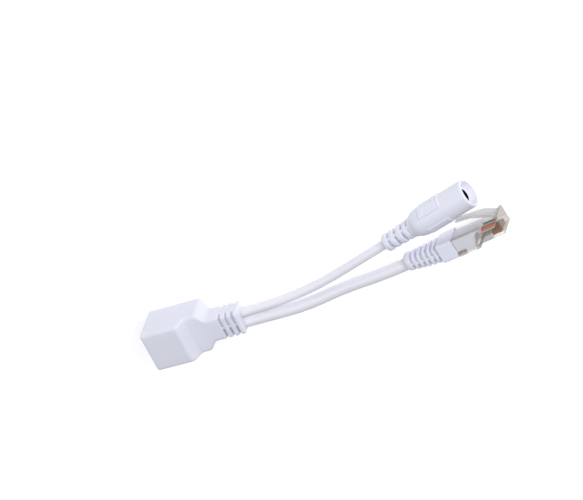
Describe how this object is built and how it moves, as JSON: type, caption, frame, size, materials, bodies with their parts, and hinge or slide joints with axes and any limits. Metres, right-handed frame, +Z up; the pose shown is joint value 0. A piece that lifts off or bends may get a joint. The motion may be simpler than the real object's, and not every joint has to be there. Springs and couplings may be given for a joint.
{
  "type": "power over ethernet injector lead",
  "caption": "White moulded lead: a modular socket housing, a short data cable to a clear latching plug, and a short power cable to a round DC jack.",
  "frame": {"origin": "under the socket housing, 20.5 mm from its mouth, on the surface that it lies on", "axes": "+X from the socket's mouth towards the plug and the jack, +Y towards the jack's side, +Z up"},
  "size_m": [0.1601, 0.0413, 0.0187],
  "materials": {
    "white_pvc": "soft moulded white PVC, satin",
    "cable_pvc": "extruded white PVC, satin",
    "insulator": "moulded white nylon",
    "inner_plastic": "moulded white polyethylene",
    "clear_plastic": "clear polished polycarbonate",
    "gold_plate": "gold-plated phosphor bronze",
    "nickel": "nickel-plated spring bronze",
    "brass_pin": "turned brass",
    "solder": "tin solder",
    "core_orange_white": "white insulation with an orange stripe",
    "core_orange": "orange insulation",
    "core_green_white": "white insulation with a green stripe",
    "core_green": "green insulation",
    "core_red": "red insulation",
    "core_black": "black insulation"
  },
  "bodies": {
    "lead": {"socket_overmould": "white_pvc", "plug_boot": "white_pvc", "jack_overmould": "white_pvc", "data_cable": "cable_pvc", "power_cable": "cable_pvc", "data_cable_held_end": "cable_pvc", "power_cable_held_end": "cable_pvc", "plug_cable_end": "cable_pvc", "jack_cable_end": "cable_pvc", "socket_insert": "insulator", "contact_carrier": "insulator", "jack_insert": "insulator", "inner_mould": "inner_plastic", "plug_inner_mould": "inner_plastic", "plug_shell": "clear_plastic", "contact_terminals": "gold_plate", "plug_contacts": "gold_plate", "jack_sleeve_contact": "nickel", "jack_centre_pin": "brass_pin", "solder_joints": "solder", "jack_solder_joints": "solder", "socket_core_orange_white": "core_orange_white", "plug_core_orange_white": "core_orange_white", "socket_core_orange": "core_orange", "plug_core_orange": "core_orange", "socket_core_green_white": "core_green_white", "plug_core_green_white": "core_green_white", "socket_core_green": "core_green", "plug_core_green": "core_green", "socket_core_positive": "core_red", "jack_core_positive": "core_red", "socket_core_negative": "core_black", "jack_core_negative": "core_black"},
    "contact_springs": {"socket_contacts": "gold_plate"},
    "latch": {"plug_latch": "clear_plastic"},
    "jack_leaf": {"jack_spring_leaf": "nickel"}
  },
  "joints": [
    {"name": "contact_flex", "type": "hinge", "parent": "lead", "child": "contact_springs", "pos_m": [-0.018, 0, 0.0125], "axis": [0, 1, 0], "range_deg": [-9, 0], "stiffness_Nm_per_rad": 0.02},
    {"name": "latch_flex", "type": "hinge", "parent": "lead", "child": "latch", "pos_m": [0.13682, 0.0147, 0.00598], "axis": [-0.0179, 0.1083, 0.994], "range_deg": [0, 8], "stiffness_Nm_per_rad": 0.05},
    {"name": "jack_leaf_flex", "type": "hinge", "parent": "lead", "child": "jack_leaf", "pos_m": [0.12051, 0.02346, 0.00895], "axis": [-0.294, 0.9558, 0], "range_deg": [-4, 0], "stiffness_Nm_per_rad": 0.01}
  ]
}
